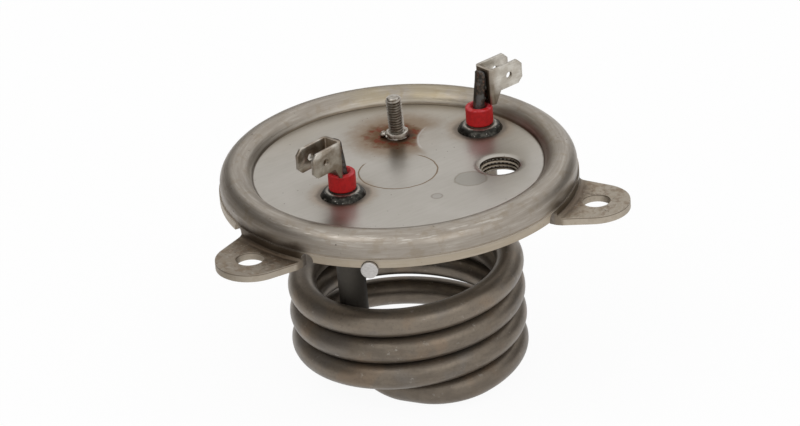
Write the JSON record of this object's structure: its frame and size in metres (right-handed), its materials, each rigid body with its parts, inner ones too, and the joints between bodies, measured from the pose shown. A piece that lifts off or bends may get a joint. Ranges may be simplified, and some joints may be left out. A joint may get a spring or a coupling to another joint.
{
  "type": "espresso machine heating element",
  "caption": "Stamped steel flange with two bolt ears, a sheathed heater tube coiled below it and tab terminals on top.",
  "frame": {"origin": "on the flange's axis, at the top face of its flat disc", "axes": "+Z along the flange's axis out of the boiler, towards the terminals; +X parallel to the line through the two ear holes; the ears lie towards -Y"},
  "size_m": [0.1034, 0.0886, 0.0701],
  "materials": {
    "flange_steel": "satin stamped sheet, heat tinted round the terminals and the stud",
    "sheath_alloy": "dull, annealed",
    "magnesia": "compacted powder",
    "resistance_wire": "oxidised",
    "pin_steel": "scorched at its welded end",
    "braze": "dark, rounded by melting",
    "red_insulator": "smooth, slightly glossy",
    "tab_steel": "bright plated sheet with sheared edges",
    "stud_steel": "rolled thread, tinted by welding",
    "key_steel": "turned"
  },
  "bodies": {
    "root": {"flange": "flange_steel", "sheath_outer_leg": "sheath_alloy", "sheath_first_turn": "sheath_alloy", "sheath_middle_turns": "sheath_alloy", "sheath_last_turn": "sheath_alloy", "sheath_tail": "sheath_alloy", "sheath_inner_leg": "sheath_alloy", "magnesia_fill": "magnesia", "resistance_coil": "resistance_wire", "terminal_pin_outer": "pin_steel", "terminal_pin_inner": "pin_steel", "braze_collar_outer": "braze", "braze_collar_inner": "braze", "insulator_bead_outer": "red_insulator", "insulator_bead_inner": "red_insulator", "tab_terminal_outer": "tab_steel", "tab_terminal_inner": "tab_steel", "threaded_stud": "stud_steel", "locating_pin": "key_steel"}
  },
  "joints": []
}
